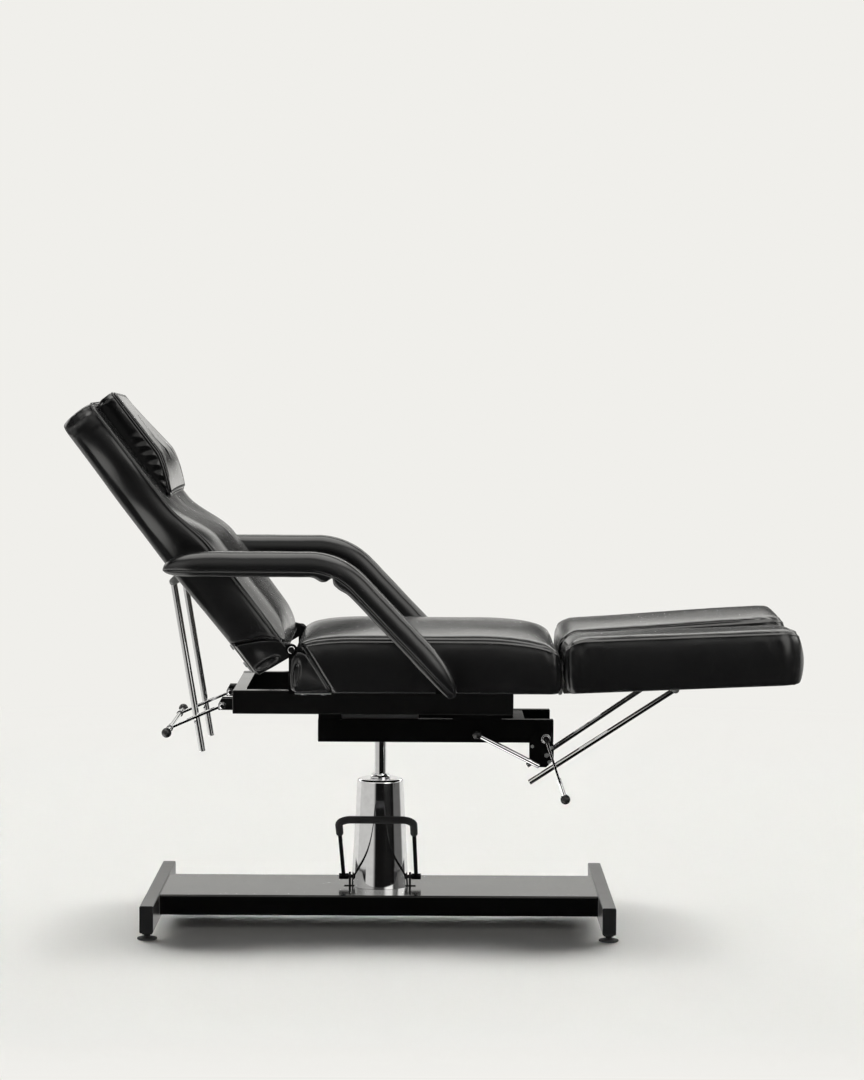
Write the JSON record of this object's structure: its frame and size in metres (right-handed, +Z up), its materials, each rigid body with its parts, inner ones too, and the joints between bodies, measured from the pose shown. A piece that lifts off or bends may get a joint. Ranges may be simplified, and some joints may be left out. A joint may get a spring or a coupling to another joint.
{
  "type": "hydraulic pedicure chair",
  "caption": "Hydraulic treatment chair with reclining back, head pillow, bent armrests, separately folding leg rests, foot-pumped lifting column and a low H-shaped base.",
  "frame": {"origin": "on the floor under the middle of the overall box", "axes": "+X towards the feet of the person in the chair, +Y across the chair away from the pedal, +Z up"},
  "size_m": [1.6131, 0.7238, 1.1914],
  "materials": {
    "upholstery": "satin",
    "black_paint": "gloss",
    "grey_paint": "satin",
    "chrome": "polished",
    "zinc": "satin",
    "plywood": "matte",
    "black_plastic": "gloss",
    "foam_grip": "matte",
    "rubber": "matte",
    "cast_iron": "matte"
  },
  "bodies": {
    "base": {"base_plate": "black_paint", "rear_bar": "black_paint", "front_bar": "black_paint", "foot_rear_near": "rubber", "foot_rear_far": "rubber", "foot_front_near": "rubber", "foot_front_far": "rubber", "pump_body": "cast_iron", "column_cover": "chrome", "gland_ring": "chrome"},
    "pedal": {"pedal_frame": "black_paint", "pedal_grip": "foam_grip"},
    "lift": {"piston_rod": "chrome"},
    "turn": {"swivel_hub": "black_paint", "mounting_plate": "grey_paint", "lower_frame": "black_paint", "upper_frame": "black_paint", "seat_board": "plywood", "seat_cushion": "upholstery", "seat_hinge_near": "zinc", "seat_hinge_far": "zinc", "armrest_guide_near": "zinc", "armrest_guide_far": "zinc", "leg_hinge_near": "zinc", "leg_hinge_far": "zinc"},
    "backrest": {"back_board": "plywood", "back_cushion": "upholstery", "head_pillow": "upholstery", "back_strap_near": "black_paint", "back_strap_far": "black_paint", "back_clevis_near": "zinc", "back_clevis_far": "zinc", "armrest_pivot_near": "zinc", "armrest_pivot_far": "zinc"},
    "back_rods": {"back_rod_near": "chrome", "back_rod_far": "chrome"},
    "back_release": {"release_handle": "chrome", "release_knob_near": "black_plastic", "release_knob_far": "black_plastic"},
    "near_release": {"near_lever": "chrome", "near_lever_knob": "black_plastic"},
    "far_release": {"far_lever_shaft": "chrome", "far_lever_crank": "black_paint", "far_lever_bar": "chrome", "far_lever_knob": "black_plastic"},
    "leg_near": {"leg_board_near": "plywood", "leg_cushion_near": "upholstery", "leg_leaf_near": "zinc", "leg_clevis_near": "zinc"},
    "leg_support_near": {"leg_rod_near": "chrome"},
    "armrest_near": {"armrest_bar_near": "black_paint", "armrest_pad_near": "upholstery"},
    "leg_far": {"leg_board_far": "plywood", "leg_cushion_far": "upholstery", "leg_leaf_far": "zinc", "leg_clevis_far": "zinc"},
    "leg_support_far": {"leg_rod_far": "chrome"},
    "armrest_far": {"armrest_bar_far": "black_paint", "armrest_pad_far": "upholstery"}
  },
  "joints": [
    {"name": "lift", "type": "slide", "parent": "base", "child": "lift", "axis": [0, 0, 1], "range_m": [0, 0.17]},
    {"name": "turn", "type": "hinge", "parent": "lift", "child": "turn", "pos_m": [-0.1192, 0, 0.44], "axis": [0, 0, 1], "continuous": true},
    {"name": "pedal", "type": "hinge", "parent": "base", "child": "pedal", "pos_m": [-0.1192, 0, 0.094], "axis": [1, 0, 0], "range_deg": [0, 22], "stiffness_Nm_per_rad": 8, "springref_deg": -11.46},
    {"name": "back_recline", "type": "hinge", "parent": "turn", "child": "backrest", "pos_m": [-0.3112, 0, 0.637], "axis": [0, 1, 0], "range_deg": [-40, 18]},
    {"name": "back_rod_swing", "type": "hinge", "parent": "backrest", "child": "back_rods", "pos_m": [-0.57931, 0, 0.77693], "axis": [0, 1, 0], "range_deg": [-6.5, 14.3]},
    {"name": "back_release", "type": "hinge", "parent": "turn", "child": "back_release", "pos_m": [-0.4692, 0, 0.501], "axis": [0, 1, 0], "range_deg": [0, 8], "stiffness_Nm_per_rad": 6, "springref_deg": -8.59},
    {"name": "near_release", "type": "hinge", "parent": "turn", "child": "near_release", "pos_m": [0.2514, 0, 0.43], "axis": [0, 1, 0], "range_deg": [0, 12], "stiffness_Nm_per_rad": 3, "springref_deg": -17.19},
    {"name": "far_release", "type": "hinge", "parent": "turn", "child": "far_release", "pos_m": [0.2514, 0, 0.43], "axis": [0, 1, 0], "range_deg": [0, 10], "stiffness_Nm_per_rad": 6, "springref_deg": -17.19},
    {"name": "leg_near", "type": "hinge", "parent": "turn", "child": "leg_near", "pos_m": [0.2793, 0, 0.5405], "axis": [0, 1, 0], "range_deg": [-3, 60]},
    {"name": "leg_rod_swing_near", "type": "hinge", "parent": "leg_near", "child": "leg_support_near", "pos_m": [0.53952, 0, 0.54105], "axis": [0, 1, 0], "range_deg": [-10.6, 0.7]},
    {"name": "leg_far", "type": "hinge", "parent": "turn", "child": "leg_far", "pos_m": [0.2793, 0, 0.5405], "axis": [0, 1, 0], "range_deg": [-1.5, 60]},
    {"name": "leg_rod_swing_far", "type": "hinge", "parent": "leg_far", "child": "leg_support_far", "pos_m": [0.53939, 0, 0.54877], "axis": [0, 1, 0], "range_deg": [-11.4, 0.5]},
    {"name": "armrest_near", "type": "hinge", "parent": "backrest", "child": "armrest_near", "pos_m": [-0.54837, 0, 0.82487], "axis": [0, 1, 0], "range_deg": [-9.6, 21.1]},
    {"name": "armrest_far", "type": "hinge", "parent": "backrest", "child": "armrest_far", "pos_m": [-0.54837, 0, 0.82487], "axis": [0, 1, 0], "range_deg": [-9.6, 21.1]}
  ],
  "couplings": [
    {"joint": "back_rod_swing", "follows": "back_recline", "ratio": -0.354},
    {"joint": "leg_rod_swing_near", "follows": "leg_near", "ratio": -0.174},
    {"joint": "leg_rod_swing_far", "follows": "leg_far", "ratio": -0.187},
    {"joint": "armrest_near", "follows": "back_recline", "ratio": -0.523},
    {"joint": "armrest_far", "follows": "back_recline", "ratio": -0.523}
  ]
}
